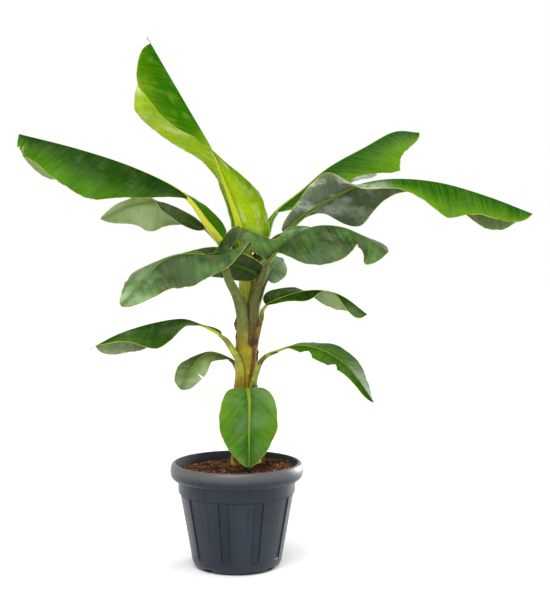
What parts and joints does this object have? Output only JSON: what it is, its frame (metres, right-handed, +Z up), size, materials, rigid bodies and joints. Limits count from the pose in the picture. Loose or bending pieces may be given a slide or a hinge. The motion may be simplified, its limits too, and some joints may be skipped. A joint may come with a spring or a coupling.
{
  "type": "potted banana plant",
  "caption": "Young banana plant with a stout pseudostem and broad arching leaves, standing in a ribbed round plastic nursery pot filled with potting soil.",
  "frame": {"origin": "centre of the pot's flat underside, on the surface that the pot stands on", "axes": "+Z up, +X to the right of somebody who faces the plant, +Y away from them"},
  "size_m": [1.0826, 0.4749, 1.1707],
  "materials": {
    "pot": "satin moulded plastic, anthracite grey",
    "soil": "rough moist potting soil with bark and coir chips",
    "stem": "smooth fibrous leaf sheaths, yellow-green with brown margins",
    "stalk": "smooth waxy leaf stalk",
    "leaf_young": "soft young leaf, slightly glossy",
    "leaf_bright": "glossy leaf with fine cross veins",
    "leaf_green": "glossy leaf with fine cross veins",
    "leaf_dark": "glossy dark leaf with fine cross veins",
    "leaf_pale": "dull pale leaf with fine cross veins"
  },
  "bodies": {
    "root": {"pot": "pot", "soil": "soil", "pseudostem": "stem", "leaf_top_stalk": "stalk", "leaf_left_high_stalk": "stalk", "leaf_right_high_stalk": "stalk", "leaf_right_long_stalk": "stalk", "leaf_left_rear_stalk": "stalk", "leaf_right_rear_stalk": "stalk", "leaf_tucked_stalk": "stalk", "leaf_right_front_stalk": "stalk", "leaf_left_front_stalk": "stalk", "leaf_right_middle_stalk": "stalk", "leaf_left_middle_stalk": "stalk", "leaf_left_low_stalk": "stalk", "leaf_right_low_stalk": "stalk", "leaf_front_low_stalk": "stalk", "leaf_top_blade": "leaf_young", "leaf_left_high_blade": "leaf_green", "leaf_right_high_blade": "leaf_bright", "leaf_right_long_blade_inner": "leaf_bright", "leaf_right_long_blade_outer": "leaf_bright", "leaf_left_rear_blade_inner": "leaf_pale", "leaf_left_rear_blade_outer": "leaf_pale", "leaf_right_rear_blade": "leaf_dark", "leaf_tucked_blade": "leaf_dark", "leaf_right_front_blade_inner": "leaf_dark", "leaf_right_front_blade_outer": "leaf_dark", "leaf_left_front_blade_inner": "leaf_dark", "leaf_left_front_blade_outer": "leaf_dark", "leaf_right_middle_blade_inner": "leaf_green", "leaf_right_middle_blade_outer": "leaf_green", "leaf_left_middle_blade_inner": "leaf_green", "leaf_left_middle_blade_outer": "leaf_green", "leaf_left_low_blade_inner": "leaf_pale", "leaf_left_low_blade_outer": "leaf_pale", "leaf_right_low_blade_inner": "leaf_green", "leaf_right_low_blade_outer": "leaf_green", "leaf_front_low_blade_inner": "leaf_bright", "leaf_front_low_blade_outer": "leaf_bright"}
  },
  "joints": []
}
